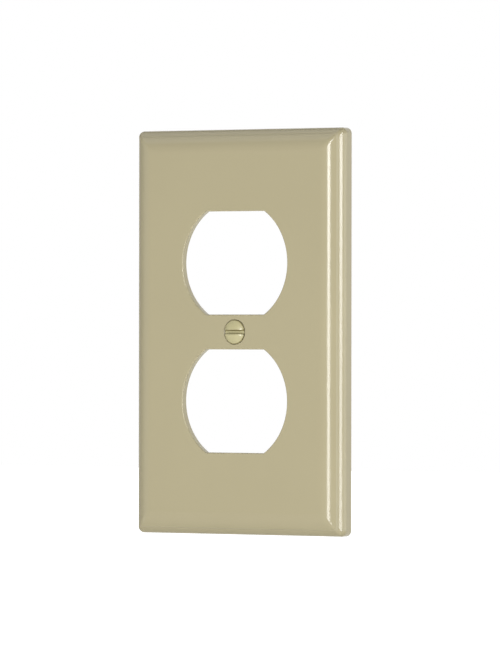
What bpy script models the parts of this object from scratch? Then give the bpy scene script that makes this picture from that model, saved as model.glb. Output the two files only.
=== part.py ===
"""Single-gang wall plate for a duplex receptacle, with its mounting screw.

Metres, +Z up. The front of the plate faces -Y and the plane y = 0 is the surface of the
wall. The origin is the middle of the plate on the wall, on the axis of the screw. Heights
are measured from the wall towards the front, so a height h lies at y = -h.
"""

import math

import bmesh
import bpy
from mathutils import Matrix, Vector

MM = 0.001
INCH = 25.4 * MM

# Wall plate: outline, depth and the curve of its rim.
PLATE_WIDTH = 2.75 * INCH
PLATE_HEIGHT = 4.5 * INCH
PLATE_DEPTH = 0.25 * INCH
WALL = 1.8 * MM
SHOULDER_RADIUS = 2.2 * MM
CROWN_RADIUS = 8.0 * MM
RIM_BREAK = math.radians(50)
SHOULDER_STEPS = 3
CROWN_STEPS = 5
CORNER_RADIUS = 1.8 * MM
HIP_RADIUS = 1.0 * MM
INNER_CORNER_RADIUS = 1.2 * MM
CORNER_STEPS = 3

# Openings for the two receptacle faces: round, with a flat at the top and the bottom.
OPENING_PITCH = 38.9 * MM
OPENING_RADIUS = 1.375 * INCH / 2
OPENING_FLATS = 28.95 * MM
OPENING_EDGE = 0.35 * MM
OPENING_ARC_STEPS = 16

# Screw boss, its hole and the ribs that stiffen the web between the openings.
BOSS_RADIUS = 4.3 * MM
BOSS_REAR = 0.8 * MM
HOLE_RADIUS = 2.0 * MM
SINK_RADIUS = 3.6 * MM
SINK_HALF_ANGLE = math.radians(41)
RIB_REACH = 22.0 * MM
RIB_THICKNESS = 1.5 * MM
RIB_REAR = 1.8 * MM

# Round marks that the mould's ejector pins leave on the inner face.
EJECTOR_RADIUS = 2.0 * MM
EJECTOR_DEPTH = 0.25 * MM
EJECTOR_X = 25.0 * MM
EJECTOR_Z = 45.0 * MM

# Screw: number 6, 32 threads to the inch, half an inch long, slotted oval head.
HEAD_RADIUS = 3.4 * MM
HEAD_BAND = 0.12 * MM
HEAD_DOME = 0.95 * MM
HEAD_SEAT = PLATE_DEPTH - 0.1 * MM
HEAD_HALF_ANGLE = SINK_HALF_ANGLE
DOME_STEPS = 5
SLOT_WIDTH = 1.2 * MM
SLOT_DEPTH = 1.25 * MM
SCREW_LENGTH = 0.5 * INCH
THREAD_PITCH = INCH / 32
THREAD_MAJOR = 1.72 * MM
THREAD_MINOR = 1.33 * MM
THREAD_ROOT = 1.18 * MM
THREAD_BASE = 0.68 * THREAD_PITCH
THREAD_CREST = 0.16 * THREAD_PITCH
THREAD_SEGMENTS = 16
THREAD_FADE = THREAD_PITCH
THREAD_SUNK = 0.06 * MM
TIP_RADIUS = 1.0 * MM
TIP_CHAMFER = 0.45 * MM
NECK_RADIUS = 1.55 * MM
NECK_LENGTH = 0.7 * MM
TURNED_SEGMENTS = 32

CLEARANCE = 2.0 * MM
MERGE = 1e-7

IVORY = (0.52, 0.46, 0.30, 1.0)
SCREW_PAINT = (0.50, 0.45, 0.28, 1.0)


def remove_everything():
    """Empties the scene, so that running the script again starts clean."""
    for old in list(bpy.data.objects):
        bpy.data.objects.remove(old, do_unlink=True)


def finish(name, color, metallic, roughness):
    """A plain Principled material."""
    material = bpy.data.materials.new(name)
    material.use_nodes = True
    shader = material.node_tree.nodes["Principled BSDF"]
    shader.inputs["Base Color"].default_value = color
    shader.inputs["Metallic"].default_value = metallic
    shader.inputs["Roughness"].default_value = roughness
    return material


def object_from(name, bm):
    """Turns a bmesh into an object of the scene, with its faces pointing outwards."""
    bmesh.ops.recalc_face_normals(bm, faces=bm.faces)
    mesh = bpy.data.meshes.new(name)
    bm.to_mesh(mesh)
    bm.free()
    piece = bpy.data.objects.new(name, mesh)
    bpy.context.scene.collection.objects.link(piece)
    return piece


def combine(piece, other, operation):
    """Cuts, joins or trims a piece with another body, which is hidden from the build."""
    modifier = piece.modifiers.new(other.name, "BOOLEAN")
    modifier.operation = operation
    modifier.solver = "EXACT"
    modifier.object = other
    other.hide_render = True
    other.display_type = "WIRE"


def arc(centre, radius, start, end, steps):
    """Points on an arc, as pairs, both ends included; angles run anticlockwise from the first axis."""
    points = []
    for step in range(steps + 1):
        angle = start + (end - start) * step / steps
        points.append((centre[0] + radius * math.cos(angle), centre[1] + radius * math.sin(angle)))
    return points


def ring_at(outline, height):
    """Places an outline of (x, z) pairs at a height in front of the wall."""
    return [Vector((x, -height, z)) for x, z in outline]


def close_ring(bm, points):
    """Adds a closed ring of edges through the points."""
    verts = [bm.verts.new(point) for point in points]
    return [bm.edges.new((vert, verts[index - 1])) for index, vert in enumerate(verts)]


def lofted(name, rings):
    """A closed body skinned over a stack of rings, flat at both ends."""
    bm = bmesh.new()
    loops = [close_ring(bm, ring) for ring in rings]
    for lower, upper in zip(loops, loops[1:]):
        bmesh.ops.bridge_loops(bm, edges=lower + upper)
    for end in (loops[0], loops[-1]):
        bmesh.ops.edgeloop_fill(bm, edges=end)
    return object_from(name, bm)


def turned(name, profile, segments):
    """A body turned about the Y axis from (radius, height) points that start and end on it."""
    bm = bmesh.new()
    verts = [bm.verts.new((radius, -height, 0.0)) for radius, height in profile]
    edges = [bm.edges.new(pair) for pair in zip(verts, verts[1:])]
    bmesh.ops.spin(
        bm,
        geom=verts + edges,
        axis=(0, 1, 0),
        cent=(0, 0, 0),
        angle=2 * math.pi,
        steps=segments,
    )
    bmesh.ops.remove_doubles(bm, verts=bm.verts, dist=MERGE)
    bmesh.ops.dissolve_degenerate(bm, edges=bm.edges, dist=MERGE)
    return object_from(name, bm)


def rounded_rectangle(half_width, half_height, radius):
    """Outline of a rectangle with round corners, as (x, z) pairs running anticlockwise."""
    outline = []
    for quarter, (side_x, side_z) in enumerate(((1, 1), (-1, 1), (-1, -1), (1, -1))):
        centre = (side_x * (half_width - radius), side_z * (half_height - radius))
        start = quarter * math.pi / 2
        outline += arc(centre, radius, start, start + math.pi / 2, CORNER_STEPS)
    return outline


def rim_profile(offset):
    """(inset, height) points of the rim, from the wall to the flat of the face.

    An upright edge turns over a tight shoulder arc into a wide crown arc, which runs out on
    the face. The offset is how far below the outer surface the profile lies.
    """
    edge_height = PLATE_DEPTH - CROWN_RADIUS + (CROWN_RADIUS - SHOULDER_RADIUS) * math.cos(RIM_BREAK)
    shoulder = (SHOULDER_RADIUS, edge_height)
    crown = (
        SHOULDER_RADIUS + (CROWN_RADIUS - SHOULDER_RADIUS) * math.sin(RIM_BREAK),
        PLATE_DEPTH - CROWN_RADIUS,
    )
    turn = math.pi / 2 + RIM_BREAK
    points = [(offset, 0.0)]
    points += arc(shoulder, SHOULDER_RADIUS - offset, math.pi, turn, SHOULDER_STEPS)
    points += arc(crown, CROWN_RADIUS - offset, turn, math.pi / 2, CROWN_STEPS)[1:]
    return points


def rim_rings(offset, corner_radius, least_radius):
    """The rings of one skin of the plate, from the wall to the face."""
    rings = []
    for inset, height in rim_profile(offset):
        radius = max(corner_radius - (inset - offset), least_radius)
        outline = rounded_rectangle(PLATE_WIDTH / 2 - inset, PLATE_HEIGHT / 2 - inset, radius)
        rings.append(ring_at(outline, height))
    return rings


def opening_outline(grow):
    """Outline of one receptacle opening about its own centre, widened all round by grow."""
    radius = OPENING_RADIUS + grow
    half_flats = OPENING_FLATS / 2 + grow
    reach = math.asin(half_flats / radius)
    right = arc((0, 0), radius, -reach, reach, OPENING_ARC_STEPS)
    left = arc((0, 0), radius, math.pi - reach, math.pi + reach, OPENING_ARC_STEPS)
    return right + left


def opening_cutter(name, centre_z):
    """Cutter for one opening, with the small flare that eases its front edge."""
    stations = (
        (0.0, -CLEARANCE),
        (0.0, PLATE_DEPTH - OPENING_EDGE),
        (OPENING_EDGE, PLATE_DEPTH),
        (OPENING_EDGE, PLATE_DEPTH + CLEARANCE),
    )
    rings = []
    for grow, height in stations:
        outline = [(x, z + centre_z) for x, z in opening_outline(grow)]
        rings.append(ring_at(outline, height))
    return lofted(name, rings)


def block(name, size, centre):
    """A plain box."""
    bm = bmesh.new()
    bmesh.ops.create_cube(bm, size=1.0, matrix=Matrix.Translation(centre) @ Matrix.Diagonal((*size, 1)))
    return object_from(name, bm)


def screw_boss():
    """Round boss behind the web, with a rib running to each side."""
    ceiling = PLATE_DEPTH - WALL
    root = ceiling + WALL / 2
    boss = turned(
        "boss",
        ((0, BOSS_REAR), (BOSS_RADIUS, BOSS_REAR), (BOSS_RADIUS, root), (0, root)),
        TURNED_SEGMENTS,
    )
    rib_depth = root - RIB_REAR
    rib = block(
        "rib",
        (2 * RIB_REACH, rib_depth, RIB_THICKNESS),
        (0, -(RIB_REAR + rib_depth / 2), 0),
    )
    combine(boss, rib, "UNION")
    return boss


def screw_hole():
    """Cutter for the clearance hole and its countersink."""
    sink_depth = (SINK_RADIUS - HOLE_RADIUS) / math.tan(SINK_HALF_ANGLE)
    top_radius = SINK_RADIUS + CLEARANCE * math.tan(SINK_HALF_ANGLE)
    profile = (
        (0, -CLEARANCE),
        (HOLE_RADIUS, -CLEARANCE),
        (HOLE_RADIUS, PLATE_DEPTH - sink_depth),
        (top_radius, PLATE_DEPTH + CLEARANCE),
        (0, PLATE_DEPTH + CLEARANCE),
    )
    return turned("screw_hole", profile, TURNED_SEGMENTS)


def ejector_mark(name, x, z):
    """Cutter for one shallow round mark on the inner face."""
    ceiling = PLATE_DEPTH - WALL
    profile = (
        (0, ceiling - CLEARANCE),
        (EJECTOR_RADIUS, ceiling - CLEARANCE),
        (EJECTOR_RADIUS, ceiling + EJECTOR_DEPTH),
        (0, ceiling + EJECTOR_DEPTH),
    )
    mark = turned(name, profile, TURNED_SEGMENTS // 2)
    mark.location = (x, 0, z)
    return mark


def wall_plate():
    """The moulded plate: a hollow shell with two openings and a countersunk screw boss."""
    plate = lofted("wall_plate", rim_rings(0.0, CORNER_RADIUS, HIP_RADIUS))
    recess = rim_rings(WALL, INNER_CORNER_RADIUS, INNER_CORNER_RADIUS)
    mouth = [point + Vector((0, CLEARANCE, 0)) for point in recess[0]]
    combine(plate, lofted("recess", [mouth] + recess), "DIFFERENCE")
    for row, z in (("upper", EJECTOR_Z), ("lower", -EJECTOR_Z)):
        for side, x in (("left", -EJECTOR_X), ("right", EJECTOR_X)):
            combine(plate, ejector_mark(f"mark_{row}_{side}", x, z), "DIFFERENCE")
    combine(plate, screw_boss(), "UNION")
    combine(plate, opening_cutter("upper_opening", OPENING_PITCH / 2), "DIFFERENCE")
    combine(plate, opening_cutter("lower_opening", -OPENING_PITCH / 2), "DIFFERENCE")
    combine(plate, screw_hole(), "DIFFERENCE")
    plate.data.materials.append(finish("ivory_thermoset", IVORY, 0.0, 0.32))
    return plate


def head_dome():
    """(radius, height) points of the crown of the head, from its rim to the axis."""
    sphere = (HEAD_RADIUS**2 + HEAD_DOME**2) / (2 * HEAD_DOME)
    centre = (0.0, HEAD_SEAT + HEAD_BAND + HEAD_DOME - sphere)
    reach = math.asin(HEAD_RADIUS / sphere)
    return arc(centre, sphere, math.pi / 2 - reach, math.pi / 2, DOME_STEPS)


def screw_stations():
    """Heights of the screw's tip, the lower end of its neck and the root of its head."""
    tip = HEAD_SEAT - SCREW_LENGTH
    head_root = HEAD_SEAT - (HEAD_RADIUS - NECK_RADIUS) / math.tan(HEAD_HALF_ANGLE)
    return tip, head_root - NECK_LENGTH, head_root


def screw_blank():
    """The screw turned without its thread: chamfered tip, shank, countersunk head and dome."""
    tip, neck, head_root = screw_stations()
    profile = [
        (0.0, tip),
        (TIP_RADIUS, tip),
        (THREAD_MINOR, tip + TIP_CHAMFER),
        (THREAD_MINOR, neck),
        (NECK_RADIUS, neck + (NECK_RADIUS - THREAD_MINOR)),
        (NECK_RADIUS, head_root),
        (HEAD_RADIUS, HEAD_SEAT),
    ]
    profile += head_dome()
    return turned("plate_screw", profile, TURNED_SEGMENTS)


def screw_thread():
    """The ridge of the right-hand thread, swept along its helix and sunk into the shank.

    Over the first and the last turn its crest rises out of the shank and sinks back.
    """
    tip, neck, _ = screw_stations()
    half_base = THREAD_BASE * (THREAD_MAJOR - THREAD_ROOT) / (THREAD_MAJOR - THREAD_MINOR) / 2
    start = tip + TIP_CHAMFER
    stop = neck - THREAD_PITCH / 4
    steps = round((stop - start) / THREAD_PITCH * THREAD_SEGMENTS)
    section = (
        (THREAD_ROOT, start - half_base),
        (THREAD_MAJOR, start - THREAD_CREST / 2),
        (THREAD_MAJOR, start + THREAD_CREST / 2),
        (THREAD_ROOT, start + half_base),
    )
    bm = bmesh.new()
    verts = [bm.verts.new((radius, -height, 0.0)) for radius, height in section]
    first = bm.faces.new(verts)
    bmesh.ops.spin(
        bm,
        geom=verts + list(first.edges) + [first],
        axis=(0, 1, 0),
        cent=(0, 0, 0),
        dvec=(0, -THREAD_PITCH / THREAD_SEGMENTS, 0),
        angle=-2 * math.pi * steps / THREAD_SEGMENTS,
        steps=steps,
    )
    least = THREAD_ROOT + THREAD_SUNK
    for vert in bm.verts:
        radius = math.hypot(vert.co.x, vert.co.z)
        if radius > least:
            rise = min((-vert.co.y - start), (stop + vert.co.y)) / THREAD_FADE
            limit = least + (THREAD_MAJOR - least) * min(max(rise, 0.0), 1.0)
            vert.co.x *= limit / radius
            vert.co.z *= limit / radius
    thread = object_from("thread", bm)
    thread.rotation_euler.y = math.pi / TURNED_SEGMENTS
    return thread


def plate_screw():
    """The mounting screw, which turns on its own axis in the plate's hole."""
    screw = screw_blank()
    combine(screw, screw_thread(), "UNION")
    slot_bottom = HEAD_SEAT + HEAD_BAND + HEAD_DOME - SLOT_DEPTH
    slot_height = SLOT_DEPTH + CLEARANCE
    slot = block(
        "slot",
        (2 * (HEAD_RADIUS + CLEARANCE), slot_height, SLOT_WIDTH),
        (0, -(slot_bottom + slot_height / 2), 0),
    )
    combine(screw, slot, "DIFFERENCE")
    screw.data.materials.append(finish("painted_steel", SCREW_PAINT, 0.0, 0.35))
    return screw


def shade_smooth(piece, angle):
    """Smooth shading, with the corners sharper than the angle kept crisp."""
    piece.data.shade_smooth()
    piece.data.set_sharp_from_angle(angle=angle)


def main():
    remove_everything()
    for piece in (wall_plate(), plate_screw()):
        shade_smooth(piece, math.radians(35))


main()
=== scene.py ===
"""Looks of a single-gang wall plate for a duplex receptacle and of its mounting screw.

Metres, +Z up. The plate's front faces -Y and its middle is at the origin, on the surface of the
wall. Heights run from the wall towards the front, so a height h lies at y = -h.
"""

import math

import bmesh
import bpy
from bpy.props import FloatProperty, FloatVectorProperty, IntProperty, PointerProperty
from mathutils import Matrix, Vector


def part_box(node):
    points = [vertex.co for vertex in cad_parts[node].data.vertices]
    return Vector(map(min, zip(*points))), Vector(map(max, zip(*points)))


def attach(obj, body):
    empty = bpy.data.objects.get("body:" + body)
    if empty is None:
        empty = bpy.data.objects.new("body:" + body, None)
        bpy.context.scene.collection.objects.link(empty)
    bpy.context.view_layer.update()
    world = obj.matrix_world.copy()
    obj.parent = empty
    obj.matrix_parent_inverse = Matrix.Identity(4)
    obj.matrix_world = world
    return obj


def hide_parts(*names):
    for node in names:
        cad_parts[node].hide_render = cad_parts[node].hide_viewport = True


bl_info = {
    "name": "Wall plate looks",
    "version": (1, 0, 0),
    "blender": (4, 5, 0),
    "location": "3D View > Sidebar > Wall plate",
    "description": "Builds a moulded wall plate, its screw and the studio round them",
    "category": "Object",
}

MM = 0.001
INCH = 25.4 * MM
MICRON = MM / 1000
QUARTER = math.pi / 2
TURN = 2 * math.pi

# How far the lights stand from the plate, the width and height of each half of a tall light,
# and how far the tall lights stand above the plate's middle.
LIGHT_REACH = 1.6
STRIP_WIDTH = 0.3
STRIP_HALF = 0.55
STRIP_LIFT = 0.04

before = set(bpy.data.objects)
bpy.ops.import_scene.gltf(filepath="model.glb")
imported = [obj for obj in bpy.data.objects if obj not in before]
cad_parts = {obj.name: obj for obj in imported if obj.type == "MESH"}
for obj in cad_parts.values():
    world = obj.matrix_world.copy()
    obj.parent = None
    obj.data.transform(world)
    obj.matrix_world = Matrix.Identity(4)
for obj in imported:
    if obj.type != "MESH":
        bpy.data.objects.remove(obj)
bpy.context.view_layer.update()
plate_low, plate_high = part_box("wall_plate")
screw_low, screw_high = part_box("plate_screw")


def length(name, description, default):
    """A length property, in metres."""
    return FloatProperty(
        name=name, description=description, default=default, unit="LENGTH", precision=5
    )


def angle(name, description, degrees):
    """An angle property, given in degrees."""
    return FloatProperty(
        name=name, description=description, default=math.radians(degrees), subtype="ANGLE"
    )


def factor(name, description, default, most=1.0):
    """A plain number property, from 0 to a given most."""
    return FloatProperty(name=name, description=description, default=default, min=0.0, max=most)


def steps(name, description, default):
    """A property that counts segments."""
    return IntProperty(name=name, description=description, default=default, min=1)


def colour(name, description, default):
    """A linear RGB colour property."""
    return FloatVectorProperty(
        name=name, description=description, default=default, subtype="COLOR", size=3, min=0.0, max=1.0
    )


class PlateSettings(bpy.types.PropertyGroup):
    """Sizes and finish of the moulded plate."""

    width: length("Width", "Side to side", plate_high.x - plate_low.x)
    height: length("Height", "Top to bottom", plate_high.z - plate_low.z)
    depth: length("Depth", "Wall to face", plate_high.y - plate_low.y)
    wall: length("Wall", "Thickness of the moulding", 1.8 * MM)
    shoulder: length("Shoulder", "Radius where the upright edge turns over", 2.2 * MM)
    crown: length("Crown", "Radius of the curve that runs out on the face", 8.0 * MM)
    rim_break: angle("Break", "Slope at which the shoulder passes into the crown", 50)
    corner: length("Corner", "Radius of the outline's corners", 1.8 * MM)
    hip: length("Hip", "Radius left on the mitres of the rim", 1.0 * MM)
    inner_corner: length("Inner corner", "Corner radius inside the hollow", 1.2 * MM)
    shoulder_steps: steps("Shoulder steps", "Segments round the shoulder", 10)
    crown_steps: steps("Crown steps", "Segments over the crown", 22)
    corner_steps: steps("Corner steps", "Segments round each corner", 12)
    opening_steps: steps("Opening steps", "Segments round each opening", 256)
    edge_steps: steps("Edge steps", "Segments over the openings' eased edge", 10)
    bore_steps: steps("Bore steps", "Segments round the boss and the screw hole", 96)
    mark_steps: steps("Mark steps", "Segments round each ejector pin mark", 48)
    opening_pitch: length("Pitch", "Between the centres of the openings", 38.9 * MM)
    opening_radius: length("Opening", "Radius of each opening", 1.375 * INCH / 2)
    opening_flats: length("Flats", "Between an opening's flats", 28.95 * MM)
    opening_edge: length("Eased edge", "Radius on the front edge of the openings", 0.4 * MM)
    boss: length("Boss", "Radius of the screw boss", 4.3 * MM)
    boss_rear: length("Boss rear", "Height of the boss's rear face", 0.8 * MM)
    hole: length("Hole", "Radius of the clearance hole", 2.0 * MM)
    sink: length("Countersink", "Radius of the countersink at the face", 3.6 * MM)
    rib_reach: length("Rib reach", "Half length of the rib behind the web", 22.0 * MM)
    rib_thickness: length("Rib", "Thickness of the rib", 1.5 * MM)
    rib_rear: length("Rib rear", "Height of the rib's rear edge", 1.8 * MM)
    ejector: length("Ejector", "Radius of the ejector pin marks", 2.0 * MM)
    ejector_x: length("Ejector column", "Pin marks from the middle, sideways", 25.0 * MM)
    ejector_z: length("Ejector row", "Pin marks from the middle, up and down", 45.0 * MM)
    ivory: colour("Ivory", "Colour of the thermoset", (0.330, 0.294, 0.184))
    gloss: factor("Roughness", "Roughness of the polished front", 0.15)
    dull: factor("Back roughness", "Roughness of the moulded back", 0.48)


class ScrewSettings(bpy.types.PropertyGroup):
    """Sizes and finish of the mounting screw."""

    head: length("Head", "Radius of the oval head", 3.4 * MM)
    band: length("Band", "Upright edge of the head", 0.12 * MM)
    dome: length("Dome", "Rise of the oval crown", 0.95 * MM)
    seat: length("Seat", "Height of the head's widest line", plate_high.y - plate_low.y - 0.1 * MM)
    sink_angle: angle("Cone", "Half angle of the head's cone", 41)
    slot_width: length("Slot", "Width of the slot", 1.2 * MM)
    slot_depth: length("Slot depth", "Below the top of the dome", 1.25 * MM)
    reach: length("Reach", "From the head's widest line to the tip", 0.5 * INCH)
    pitch: length("Pitch", "Of the thread", INCH / 32)
    major: length("Major", "Crest radius of the thread", 1.72 * MM)
    minor: length("Minor", "Shank radius at the root of the thread", 1.33 * MM)
    root: length("Root", "How deep the thread's ridge is sunk in the shank", 1.18 * MM)
    tip: length("Tip", "Radius of the chamfered end", 1.0 * MM)
    chamfer: length("Chamfer", "Length of the chamfered end", 0.45 * MM)
    neck: length("Neck", "Radius of the neck under the head", 1.55 * MM)
    neck_length: length("Neck length", "Plain length under the head", 0.7 * MM)
    turned_steps: steps("Turned steps", "Segments round the screw", 64)
    dome_steps: steps("Dome steps", "Segments over the dome", 14)
    thread_steps: steps("Thread steps", "Segments in a turn of the thread", 48)
    paint: colour("Paint", "Baked paint on the head", (0.385, 0.352, 0.194))
    # Painted shade: this dark colour stands in for the shadow in the gap round the head and in the
    # slot's corners.
    painted_shade: colour("Painted shade", "Dark line round the head and in the slot's corners", (0.15, 0.118, 0.032))
    zinc: colour("Zinc", "Bright plating on the shank", (0.66, 0.67, 0.68))


class StudioSettings(bpy.types.PropertyGroup):
    """Camera, lights and floor."""

    azimuth: angle("Azimuth", "Camera to the right of straight on", 33.13)
    roll: angle("Roll", "Camera turned about its own axis", 0.075)
    distance: length("Distance", "Camera to plate", 1.752)
    lens: FloatProperty(name="Lens", description="Focal length in millimetres", default=335.15)
    aim_right: length("Aim right", "Aim point to the right of the plate's middle", 0.929 * MM)
    aim_down: length("Aim down", "Aim point below the plate's middle", 0.42 * MM)
    turn: angle("Turn", "Midway between the tall lights, to the right of the camera", 1.0)
    spread: angle("Spread", "From midway to each tall light", 24.4)
    key: factor("Key", "Brightness of the upper half of the left tall light", 14.4, 100.0)
    key_right: factor("Right key", "Brightness of the right tall light as a share of the left one", 0.87)
    key_falloff: factor("Falloff", "Brightness of their lower halves as a share of the upper ones", 0.67)
    backdrop: factor("Backdrop", "Brightness of the panel behind the plate", 1.0, 10.0)
    bounce: factor("Bounce", "Brightness of the panel below the plate", 1.5, 10.0)
    side_left: factor("Left fill", "Brightness of the panel on the left", 0.35, 10.0)
    side_right: factor("Right fill", "Brightness of the panel on the right", 2.1, 10.0)
    top: factor("Top fill", "Brightness of the panel above", 0.85, 10.0)
    air: factor("Air", "Brightness of the light all round", 0.29, 10.0)
    floor_drop: length("Floor", "Floor below the plate's lower edge", 60 * MM)


def deselect():
    """Clears the selection, so that an operator acts on the new piece alone."""
    if bpy.context.object and bpy.context.object.mode != "OBJECT":
        bpy.ops.object.mode_set(mode="OBJECT")
    bpy.ops.object.select_all(action="DESELECT")


def settle(piece, name):
    """Names a piece and puts its place, turn and scale into its mesh."""
    piece.name = name
    piece.data.name = name
    bpy.ops.object.transform_apply(location=True, rotation=True, scale=True)
    return piece


def new_box(name, low, high):
    """A box between its low and high corners."""
    deselect()
    middle = [(a + b) / 2 for a, b in zip(low, high)]
    bpy.ops.mesh.primitive_cube_add(size=1, location=middle)
    piece = bpy.context.object
    piece.scale = [b - a for a, b in zip(low, high)]
    return settle(piece, name)


def edit(mode):
    """Enters edit mode on the active piece with nothing selected."""
    bpy.ops.object.mode_set(mode="EDIT")
    bpy.ops.mesh.select_mode(type=mode)
    bpy.ops.mesh.select_all(action="DESELECT")


def pick(kind, test):
    """Selects the faces, edges or verts of the piece in edit mode that pass a test."""
    mesh = bpy.context.object.data
    bm = bmesh.from_edit_mesh(mesh)
    bm.normal_update()
    for item in getattr(bm, kind):
        item.select_set(bool(test(item)))
    bm.select_flush_mode()
    bmesh.update_edit_mesh(mesh)


def leave_edit():
    """Turns every face outwards and leaves edit mode."""
    bpy.ops.mesh.select_all(action="SELECT")
    bpy.ops.mesh.normals_make_consistent(inside=False)
    bpy.ops.object.mode_set(mode="OBJECT")


def apply_modifier(piece, modifier):
    """Applies a modifier to its piece."""
    deselect()
    piece.select_set(True)
    bpy.context.view_layer.objects.active = piece
    bpy.ops.object.modifier_apply(modifier=modifier.name)


def combine(piece, other, operation):
    """Joins, cuts or trims a piece with another body, and uses that body up."""
    modifier = piece.modifiers.new("combine", "BOOLEAN")
    modifier.operation = operation
    modifier.solver = "EXACT"
    modifier.object = other
    apply_modifier(piece, modifier)
    bpy.data.objects.remove(other, do_unlink=True)


def push_forward(old_height, height, grow_x, grow_z):
    """Extrudes the selected face from one height to the next, and widens its new copy."""
    bpy.ops.mesh.extrude_region_move(
        TRANSFORM_OT_translate={"value": (0, old_height - height, 0)}
    )
    bpy.ops.transform.resize(value=(grow_x, 1, grow_z), center_override=(0, -height, 0))


def lathe(name, stations, segments):
    """A closed body turned about the Y axis: a disc is pushed through (radius, height) stations."""
    deselect()
    radius, height = stations[0]
    bpy.ops.mesh.primitive_circle_add(
        vertices=segments,
        radius=radius,
        fill_type="NGON",
        location=(0, -height, 0),
        rotation=(QUARTER, 0, 0),
    )
    piece = settle(bpy.context.object, name)
    edit("FACE")
    bpy.ops.mesh.select_all(action="SELECT")
    for next_radius, next_height in stations[1:]:
        push_forward(height, next_height, next_radius / radius, next_radius / radius)
        radius, height = next_radius, next_height
    leave_edit()
    return piece


def arc(centre, radius, start, end, count):
    """Points on an arc, as pairs, both ends included."""
    spread = [start + (end - start) * step / count for step in range(count + 1)]
    return [(centre[0] + radius * math.cos(a), centre[1] + radius * math.sin(a)) for a in spread]


def rim_profile(plate, offset):
    """(inset, height) points of the rim's curve, from the top of its upright edge to the face."""
    spread = plate.crown - plate.shoulder
    shoulder = (plate.shoulder, plate.depth - plate.crown + spread * math.cos(plate.rim_break))
    crown = (plate.shoulder + spread * math.sin(plate.rim_break), plate.depth - plate.crown)
    turn = QUARTER + plate.rim_break
    points = arc(shoulder, plate.shoulder - offset, math.pi, turn, plate.shoulder_steps)
    points += arc(crown, plate.crown - offset, turn, QUARTER, plate.crown_steps)[1:]
    return points


def crowned_block(plate, name, offset, rear, corner, least):
    """A block with round corners whose front is drawn in along the rim's curve.

    The front face is inset from point to point while its corners keep a radius, and after
    that it is extruded and narrowed, so the corners go on as a mitre with a small hip. The
    change comes when another inset would bring the corners' radius down to the least.
    """
    profile = rim_profile(plate, offset)
    inset, height = profile[0]
    half_x = plate.width / 2 - inset
    half_z = plate.height / 2 - inset
    block = new_box(name, (-half_x, -height, -half_z), (half_x, -rear, half_z))
    edit("EDGE")
    pick("edges", lambda edge: abs(edge.verts[0].co.y - edge.verts[1].co.y) > MM / 2)
    bpy.ops.mesh.bevel(offset=corner, segments=plate.corner_steps, profile=0.5, affect="EDGES")
    bpy.ops.mesh.select_mode(type="FACE")
    pick("faces", lambda face: face.normal.y < -0.9)
    for next_inset, next_height in profile[1:]:
        step = next_inset - inset
        if corner - step > least:
            bpy.ops.mesh.inset(thickness=step, depth=next_height - height, use_even_offset=True)
            corner -= step
        else:
            half_x = plate.width / 2 - inset
            half_z = plate.height / 2 - inset
            push_forward(height, next_height, (half_x - step) / half_x, (half_z - step) / half_z)
        inset, height = next_inset, next_height
    leave_edit()
    return block


def opening_cutter(plate, centre_z):
    """Cutter for one opening: a disc with two flats, flared in front to round the edge."""
    radius = plate.opening_radius
    half_flats = plate.opening_flats / 2
    edge = plate.opening_edge
    eased = plate.depth - edge
    deselect()
    bpy.ops.mesh.primitive_cylinder_add(
        vertices=plate.opening_steps,
        radius=radius,
        depth=eased + 2 * MM,
        location=(0, MM - eased / 2, 0),
        rotation=(QUARTER, 0, 0),
    )
    cutter = settle(bpy.context.object, "opening_cutter")
    edit("FACE")
    for side in (1, -1):
        bpy.ops.mesh.select_all(action="SELECT")
        bpy.ops.mesh.bisect(
            plane_co=(0, 0, side * half_flats),
            plane_no=(0, 0, side),
            use_fill=True,
            clear_outer=True,
        )
    pick("faces", lambda face: face.normal.y < -0.9)
    flare = edge * 1.5
    stations = arc((edge, eased), edge, math.pi, QUARTER, plate.edge_steps)[1:-1]
    stations += [(flare, plate.depth + edge / 10), (flare, plate.depth + MM)]
    widened, height = 0.0, eased
    for grow, next_height in stations:
        grow_x = (radius + grow) / (radius + widened)
        grow_z = (half_flats + grow) / (half_flats + widened)
        push_forward(height, next_height, grow_x, grow_z)
        widened, height = grow, next_height
    leave_edit()
    cutter.location.z = centre_z
    return settle(cutter, cutter.name)


def screw_boss(plate):
    """Round boss behind the web, with a fillet where it meets the inner face."""
    ceiling = plate.depth - plate.wall
    fillet = 0.5 * MM
    edge = 0.25 * MM
    stations = arc((plate.boss - edge, plate.boss_rear + edge), edge, -QUARTER, 0, 4)
    stations += arc((plate.boss + fillet, ceiling - fillet), fillet, math.pi, QUARTER, 6)[:-1]
    stations.append((plate.boss + fillet, ceiling + fillet))
    return lathe("boss", stations, plate.bore_steps)


def rib(plate):
    """Low rib behind the web, with eased edges."""
    rear_y = -plate.rib_rear
    front_y = -(plate.depth - plate.wall / 2)
    half = plate.rib_thickness / 2
    body = new_box("rib", (-plate.rib_reach, front_y, -half), (plate.rib_reach, rear_y, half))
    edit("EDGE")
    pick("edges", lambda edge: all(vert.co.y > rear_y - MICRON for vert in edge.verts))
    bpy.ops.mesh.bevel(offset=0.3 * MM, segments=4, profile=0.5, affect="EDGES")
    leave_edit()
    return body


def screw_hole(plate):
    """Cutter for the clearance hole and its countersink, with its mouth slightly eased."""
    slope = math.tan(bpy.context.scene.mounting_screw.sink_angle)
    edge = 0.12 * MM
    sink_floor = plate.depth - (plate.sink - plate.hole) / slope
    mouth = plate.depth - edge
    stations = [(plate.hole, -2 * MM), (plate.hole, sink_floor), (plate.sink - edge * slope, mouth)]
    mouth_radius = plate.sink + edge / 2
    stations += [(mouth_radius, plate.depth + edge / 4), (mouth_radius, plate.depth + MM)]
    return lathe("screw_hole", stations, plate.bore_steps)


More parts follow.
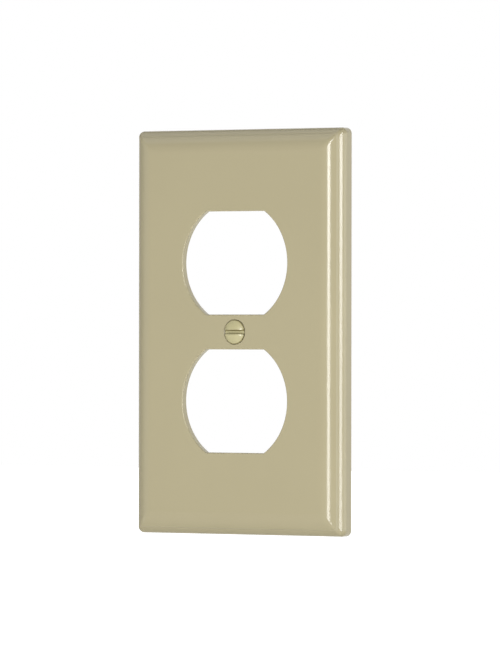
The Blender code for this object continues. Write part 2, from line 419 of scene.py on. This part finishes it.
def ejector_mark(plate, x, z):
    """Cutter for one shallow round mark that a mould pin leaves."""
    ceiling = plate.depth - plate.wall
    sunk = 0.25 * MM
    edge = 0.1 * MM
    stations = [(plate.ejector, ceiling - MM), (plate.ejector, ceiling + sunk - edge)]
    stations += [(plate.ejector - edge, ceiling + sunk)]
    mark = lathe("ejector_mark", stations, plate.mark_steps)
    mark.location = (x, 0, z)
    return settle(mark, mark.name)


def smooth(piece, degrees):
    """Smooth shading with crisp corners, and flats that stay flat up to their edges."""
    deselect()
    piece.select_set(True)
    bpy.context.view_layer.objects.active = piece
    bpy.ops.object.shade_smooth_by_angle(angle=math.radians(degrees))
    weighted = piece.modifiers.new("weighted", "WEIGHTED_NORMAL")
    weighted.keep_sharp = True
    apply_modifier(piece, weighted)


class Socket:
    """An output that varies over a surface. Python arithmetic on it adds Math nodes."""

    def __init__(self, graph, output):
        self.graph = graph
        self.output = output

    def math(self, operation, *values):
        """One Math node with this socket and other values as its inputs."""
        inputs = dict(enumerate(values))
        return self.graph.add("ShaderNodeMath", {"operation": operation}, inputs)

    def __add__(self, other):
        return self.math("ADD", self, other)

    def __radd__(self, other):
        return self.math("ADD", other, self)

    def __sub__(self, other):
        return self.math("SUBTRACT", self, other)

    def __rsub__(self, other):
        return self.math("SUBTRACT", other, self)

    def __mul__(self, other):
        return self.math("MULTIPLY", self, other)

    def __rmul__(self, other):
        return self.math("MULTIPLY", other, self)

    def __abs__(self):
        return self.math("ABSOLUTE", self)

    def __lt__(self, other):
        return self.math("LESS_THAN", self, other)

    def __gt__(self, other):
        return self.math("GREATER_THAN", self, other)


class Graph:
    """The node tree of one new material."""

    def __init__(self, name):
        self.material = bpy.data.materials.new(name)
        self.material.use_nodes = True
        self.tree = self.material.node_tree
        self.tree.nodes.clear()

    def add(self, kind, settings=None, inputs=None, output=0):
        """Adds a node: settings come first, then values or links for its sockets."""
        node = self.tree.nodes.new(kind)
        for name, value in (settings or {}).items():
            if name == "stops":
                self.set_stops(node.color_ramp, value)
            else:
                setattr(node, name, value)
        for key, value in (inputs or {}).items():
            if isinstance(value, Socket):
                self.tree.links.new(value.output, node.inputs[key])
            else:
                node.inputs[key].default_value = value
        return Socket(self, node.outputs[output]) if node.outputs else node

    def set_stops(self, ramp, stops):
        """Sets a ramp's (position, grey) stops."""
        for element, (position, grey) in zip(ramp.elements, stops):
            element.position = position
            element.color = (grey, grey, grey, 1.0)

    def axes(self):
        """Where a point lies on the object, as a vector and as its x, y and z."""
        place = self.add("ShaderNodeTexCoord", output=3)
        split = self.add("ShaderNodeSeparateXYZ", None, {0: place})
        return (place, *(Socket(self, output) for output in split.output.node.outputs))

    def blend(self, amount, first, second):
        """Mix of two colours."""
        return self.add(
            "ShaderNodeMix", {"data_type": "RGBA"}, {0: amount, 6: first, 7: second}, output=2
        )

    def noise(self, place, scale, detail=2.0):
        """Fractal noise at a place, centred on one half. The scale is in cells to the metre."""
        inputs = {"Vector": place, "Scale": scale, "Detail": detail}
        return self.add("ShaderNodeTexNoise", None, inputs)

    def bump(self, relief, strength, distance):
        """Surface normals from a relief."""
        inputs = {"Strength": strength, "Distance": distance, "Height": relief}
        return self.add("ShaderNodeBump", None, inputs)

    def finish(self, inputs):
        """Ends the tree with one Principled shader."""
        shader = self.add("ShaderNodeBsdfPrincipled", None, inputs)
        self.add("ShaderNodeOutputMaterial", None, {"Surface": shader})
        return self.material


def rgba(rgb, gain=1.0):
    """A colour with full alpha, made lighter or darker."""
    return (*(min(channel * gain, 1.0) for channel in rgb), 1.0)


def ivory_thermoset(plate):
    """Compression-moulded ivory thermoset: polished in front, duller inside the hollow."""
    graph = Graph("ivory_thermoset")
    place, x, y, z = graph.axes()
    lap = 0.2 * MM
    inner_x = abs(x) < plate.width / 2 - plate.wall + lap
    inner_z = abs(z) < plate.height / 2 - plate.wall + lap
    hollow = inner_x * inner_z * (y > -(plate.depth - plate.wall + 0.3 * MM))
    in_sink = x * x + z * z < (plate.sink + 0.05 * MM) ** 2
    sunk = in_sink * (y > -(plate.depth - 0.02 * MM))
    clouds = graph.noise(place, scale=45.0, detail=3.0)
    grain = graph.noise(place, scale=1400.0)
    peel = graph.noise(place, scale=380.0)
    mottled = graph.blend(clouds, rgba(plate.ivory, 0.975), rgba(plate.ivory, 1.025))
    speckle_stops = ((0.62, 0.0), (0.72, 1.0))
    speckle = graph.add("ShaderNodeValToRGB", {"stops": speckle_stops}, {"Fac": grain})
    speckled = graph.blend(speckle * 0.10, mottled, rgba(plate.ivory, 0.86))
    # Colour drawn darker inside the hollow at the back.
    darker_in_hollow = graph.blend(hollow * 0.35, speckled, rgba(plate.ivory, 0.93))
    # Painted shade: the countersink is drawn darker, standing in for the shadow in the gap round the
    # screw's head.
    shaded = graph.blend(sunk * 0.5, darker_in_hollow, rgba(plate.ivory, 0.4))
    polish = plate.gloss + (clouds - 0.5) * 0.05 + (grain - 0.5) * 0.06
    roughness = polish + (hollow + sunk > 0.5) * (plate.dull - plate.gloss)
    relief = peel + grain * 0.06 + hollow * grain * 1.5
    bump = graph.bump(relief, strength=0.35, distance=7 * MICRON)
    return graph.finish(
        {"Base Color": shaded, "Roughness": roughness, "Normal": bump, "IOR": 1.53}
    )


class WALLPLATE_OT_moulding(bpy.types.Operator):
    """Builds the plate: a crowned shell with two openings and a countersunk boss"""

    bl_idname = "wallplate.moulding"
    bl_label = "Plate moulding"

    def execute(self, context):
        plate = context.scene.wall_plate
        body = crowned_block(plate, "plate_moulding", 0.0, 0.0, plate.corner, plate.hip)
        inner = plate.inner_corner
        recess = crowned_block(plate, "recess", plate.wall, -2 * MM, inner, inner)
        combine(body, recess, "DIFFERENCE")
        for side_x in (-1, 1):
            for side_z in (-1, 1):
                mark = ejector_mark(plate, side_x * plate.ejector_x, side_z * plate.ejector_z)
                combine(body, mark, "DIFFERENCE")
        combine(body, rib(plate), "UNION")
        combine(body, screw_boss(plate), "UNION")
        for side in (1, -1):
            combine(body, opening_cutter(plate, side * plate.opening_pitch / 2), "DIFFERENCE")
        combine(body, screw_hole(plate), "DIFFERENCE")
        smooth(body, degrees=30)
        body.data.materials.clear()
        body.data.materials.append(ivory_thermoset(plate))
        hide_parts("wall_plate")
        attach(body, "plate")
        return {"FINISHED"}


def head_stations(screw):
    """(radius, height) stations of the head, from its neck up over its dome."""
    sphere = (screw.head**2 + screw.dome**2) / (2 * screw.dome)
    centre = (0.0, screw.seat + screw.band + screw.dome - sphere)
    reach = math.asin(screw.head / sphere)
    crown = arc(centre, sphere, QUARTER - reach, QUARTER - reach / 60, screw.dome_steps)
    return [(screw.head, screw.seat)] + crown


def screw_blank(screw):
    """The screw without its thread: chamfered tip, shank, neck, countersunk head and dome."""
    tip = screw.seat - screw.reach
    root = screw.seat - (screw.head - screw.neck) / math.tan(screw.sink_angle)
    neck = root - screw.neck_length
    stations = [(screw.tip, tip), (screw.minor, tip + screw.chamfer), (screw.minor, neck)]
    stations += [(screw.neck, neck + screw.neck - screw.minor), (screw.neck, root)]
    stations += head_stations(screw)
    return lathe("screw_body", stations, screw.turned_steps)


def cut_slot(screw, body):
    """Saws the slot across the head, then eases every hard edge of the blank."""
    floor = screw.seat + screw.band + screw.dome - screw.slot_depth
    half = screw.slot_width / 2
    reach = screw.head + MM
    slot = new_box("slot", (-reach, -(screw.seat + 2 * MM), -half), (reach, -floor, half))
    combine(body, slot, "DIFFERENCE")
    edit("VERT")
    bpy.ops.mesh.select_all(action="SELECT")
    bpy.ops.mesh.remove_doubles(threshold=0.02 * MM)
    leave_edit()
    eased = body.modifiers.new("eased", "BEVEL")
    eased.width = 0.07 * MM
    eased.segments = 3
    eased.limit_method = "ANGLE"
    eased.angle_limit = math.radians(25)
    eased.use_clamp_overlap = False
    apply_modifier(body, eased)


def thread_ridge(screw):
    """The ridge of the right-hand thread, swept along its helix and sunk into the shank."""
    tip = screw.seat - screw.reach
    root = screw.seat - (screw.head - screw.neck) / math.tan(screw.sink_angle)
    start = tip + screw.chamfer
    stop = root - screw.neck_length - screw.pitch / 4
    turns = (stop - start) / screw.pitch
    deselect()
    half_base = 0.42 * screw.pitch
    half_crest = 0.09 * screw.pitch
    bpy.ops.mesh.primitive_plane_add(size=1, location=((screw.root + screw.major) / 2, -start, 0))
    ridge = bpy.context.object
    ridge.scale = (screw.major - screw.root, 2 * half_base, 1)
    settle(ridge, "thread")
    edit("VERT")
    pick("verts", lambda vert: vert.co.x > screw.minor)
    bpy.ops.transform.resize(value=(1, half_crest / half_base, 1), center_override=(0, -start, 0))
    leave_edit()
    helix = ridge.modifiers.new("helix", "SCREW")
    helix.axis = "Y"
    helix.angle = -TURN * turns
    helix.screw_offset = -screw.pitch * turns
    helix.steps = round(screw.thread_steps * turns)
    helix.render_steps = helix.steps
    helix.use_merge_vertices = False
    apply_modifier(ridge, helix)
    edit("EDGE")
    bpy.ops.mesh.select_non_manifold(extend=False)
    bpy.ops.mesh.fill_holes(sides=8)
    leave_edit()
    return ridge


class WALLPLATE_OT_screw(bpy.types.Operator):
    """Builds the slotted oval-head screw with its rolled thread"""

    bl_idname = "wallplate.screw"
    bl_label = "Mounting screw"

    def execute(self, context):
        screw = context.scene.mounting_screw
        body = screw_blank(screw)
        cut_slot(screw, body)
        combine(body, thread_ridge(screw), "UNION")
        smooth(body, degrees=35)
        body.data.materials.clear()
        body.data.materials.append(painted_steel(screw))
        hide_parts("plate_screw")
        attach(body, "screw")
        return {"FINISHED"}


def painted_steel(screw):
    """Zinc-plated steel with a head sprayed ivory down to its cone, and painted shade in the slot's
    corners and round the head.
    """
    graph = Graph("painted_steel")
    place, x, y, z = graph.axes()
    ragged = graph.noise(place, scale=2500.0)
    paint_edge = -(screw.seat - 0.35 * MM)
    painted = (y + (ragged - 0.5) * 0.2 * MM) < paint_edge
    from_wall = abs(abs(z) - screw.slot_width / 2)
    in_slot = y > -(screw.seat + screw.band + 0.1 * MM)
    upper = z > 0
    # Painted shade in the slot's corners: two dark lines along the slot, the upper one wider and darker
    # as if the light came from above.
    shade_reach = 0.2 * MM + upper * (0.12 * MM)
    painted_corner_shade = (from_wall < shade_reach) * in_slot * (0.65 + upper * 0.2)
    beside_slot = abs(z) > screw.slot_width / 2
    # Painted shade round the head's edge: a dark ring that stands in for the shadow in the gap to the
    # countersink.
    painted_rim_shade = (x * x + z * z > (screw.head - 0.22 * MM) ** 2) * beside_slot * 0.65
    worn_lip = (from_wall < 0.35 * MM) * (1.0 - in_slot)
    sprayed = graph.blend(ragged, rgba(screw.paint, 0.96), rgba(screw.paint, 1.04))
    # The paint with the painted shade laid over it in the slot's corners and round the head.
    mottled = graph.blend((painted_corner_shade + painted_rim_shade) * painted, sprayed, rgba(screw.painted_shade))
    plated = graph.blend(ragged, rgba(screw.zinc, 0.85), rgba(screw.zinc))
    coloured = graph.blend(painted, plated, mottled)
    roughness = 0.30 + (ragged - 0.5) * 0.12 + painted * 0.04
    bump = graph.bump(ragged, strength=0.3, distance=6 * MICRON)
    coat = worn_lip * painted * 0.8
    finish = {"Base Color": coloured, "Metallic": 1.0 - painted, "Roughness": roughness}
    return graph.finish({**finish, "Coat Weight": coat, "Normal": bump})


def direction(azimuth, elevation=0.0):
    """Unit vector from the plate, turned to the right from straight in front and then raised."""
    level = math.cos(elevation)
    return Vector((math.sin(azimuth) * level, -math.cos(azimuth) * level, math.sin(elevation)))


def aim(piece, place, target):
    """Puts a camera or a light at a place, turned towards its target."""
    piece.location = place
    piece.rotation_euler = (target - place).to_track_quat("-Z", "Y").to_euler()


def softbox(name, place, target, width, height, radiance, mirrored=True):
    """A rectangular light of a given brightness, that glossy surfaces may or may not mirror."""
    bpy.ops.object.light_add(type="AREA")
    lamp = bpy.context.object
    lamp.name = name
    lamp.data.shape = "RECTANGLE"
    lamp.data.size = width
    lamp.data.size_y = height
    lamp.data.energy = radiance * math.pi * width * height
    lamp.visible_camera = False
    lamp.visible_glossy = mirrored
    aim(lamp, place, target)


def panel_place(azimuth, elevation=0):
    """Where a light stands round the plate, from its angles in degrees."""
    return direction(math.radians(azimuth), math.radians(elevation)) * LIGHT_REACH


def tall_light(name, azimuth, upper, falloff):
    """An upright strip light in two halves, the lower one dimmer."""
    foot = direction(azimuth) * LIGHT_REACH
    for part, side, gain in (("upper", 1, 1.0), ("lower", -1, falloff)):
        lift = Vector((0, 0, side * STRIP_HALF / 2 + STRIP_LIFT))
        softbox(f"{name}_{part}", foot + lift, lift, STRIP_WIDTH, STRIP_HALF, upper * gain)


def studio_lights(studio):
    """Two tall lights beside the camera, and dim panels behind, above, below and at the sides."""
    midway = studio.azimuth + studio.turn
    right_key = studio.key * studio.key_right
    tall_light("key_left", midway - studio.spread, studio.key, studio.key_falloff)
    tall_light("key_right", midway + studio.spread, right_key, studio.key_falloff)
    middle = Vector((0, 0, 0))
    behind = Vector((0, 1.0, 0))
    below = Vector((0.12, -0.42, plate_low.z - 0.08))
    up = Vector((0, 0, 1))
    softbox("backdrop", behind, middle, 3.2, 3.0, studio.backdrop)
    softbox("top", panel_place(-68, 52), middle, 1.1, 0.9, studio.top)
    softbox("bounce", below, below + up, 0.9, 0.72, studio.bounce, mirrored=False)
    softbox("side_left", panel_place(-60), middle, 0.8, 1.5, studio.side_left)
    softbox("side_right", panel_place(98), middle, 1.35, 0.4, studio.side_right)


def studio_air(brightness):
    """White for the camera, and a dim even light for everything else."""
    world = bpy.data.worlds.new("studio_air")
    bpy.context.scene.world = world
    world.use_nodes = True
    nodes, links = world.node_tree.nodes, world.node_tree.links
    nodes.clear()
    seen = nodes.new("ShaderNodeBackground")
    seen.inputs["Strength"].default_value = 1.0
    lit = nodes.new("ShaderNodeBackground")
    lit.inputs["Strength"].default_value = brightness
    path = nodes.new("ShaderNodeLightPath")
    mix = nodes.new("ShaderNodeMixShader")
    out = nodes.new("ShaderNodeOutputWorld")
    for background in (seen, lit):
        background.inputs["Color"].default_value = (1, 1, 1, 1)
    links.new(path.outputs["Is Camera Ray"], mix.inputs[0])
    links.new(lit.outputs[0], mix.inputs[1])
    links.new(seen.outputs[0], mix.inputs[2])
    links.new(mix.outputs[0], out.inputs["Surface"])


def pale_floor(drop):
    """A wide pale floor, far enough down to catch no shadow edge."""
    deselect()
    bpy.ops.mesh.primitive_plane_add(size=6.0, location=(0, 0, plate_low.z - drop))
    floor = settle(bpy.context.object, "floor")
    graph = Graph("pale_floor")
    white = (1.0, 1.0, 1.0, 1.0)
    floor.data.materials.append(
        graph.finish({"Base Color": white, "Emission Color": white, "Emission Strength": 1.0})
    )
    floor.visible_diffuse = False
    floor.visible_glossy = False
    floor.visible_shadow = False


class WALLPLATE_OT_studio(bpy.types.Operator):
    """Builds the floor, the lights and the camera"""

    bl_idname = "wallplate.studio"
    bl_label = "Studio"

    def execute(self, context):
        studio = context.scene.studio
        studio_air(studio.air)
        pale_floor(studio.floor_drop)
        studio_lights(studio)
        bpy.ops.object.camera_add()
        camera = bpy.context.object
        camera.data.sensor_width = 36.0
        camera.data.lens = studio.lens
        camera.data.clip_end = 20.0
        towards = direction(studio.azimuth)
        right = Vector((math.cos(studio.azimuth), math.sin(studio.azimuth), 0.0))
        target = right * studio.aim_right - Vector((0, 0, studio.aim_down))
        aim(camera, target + towards * studio.distance, target)
        camera.rotation_euler.rotate_axis("Z", studio.roll)
        context.scene.camera = camera
        context.scene.view_settings.view_transform = "Standard"
        return {"FINISHED"}


class WALLPLATE_PT_panel(bpy.types.Panel):
    """Lists what builds the wall plate"""

    bl_idname = "WALLPLATE_PT_panel"
    bl_label = "Wall plate"
    bl_space_type = "VIEW_3D"
    bl_region_type = "UI"
    bl_category = "Wall plate"

    def draw(self, context):
        for operator in OPERATORS:
            self.layout.operator(operator.bl_idname)


SETTINGS = {"wall_plate": PlateSettings, "mounting_screw": ScrewSettings, "studio": StudioSettings}
OPERATORS = (WALLPLATE_OT_moulding, WALLPLATE_OT_screw, WALLPLATE_OT_studio)


def register():
    """Registers every class, and keeps each group of settings on the scene."""
    for name, group in SETTINGS.items():
        bpy.utils.register_class(group)
        setattr(bpy.types.Scene, name, PointerProperty(type=group))
    for kind in OPERATORS + (WALLPLATE_PT_panel,):
        bpy.utils.register_class(kind)


def unregister():
    """Takes back what register has added."""
    for kind in (WALLPLATE_PT_panel,) + OPERATORS:
        bpy.utils.unregister_class(kind)
    for name, group in SETTINGS.items():
        delattr(bpy.types.Scene, name)
        bpy.utils.unregister_class(group)


def main():
    """Builds everything."""
    register()
    bpy.ops.wallplate.moulding()
    bpy.ops.wallplate.screw()
    bpy.ops.wallplate.studio()


if __name__ == "__main__":
    main()
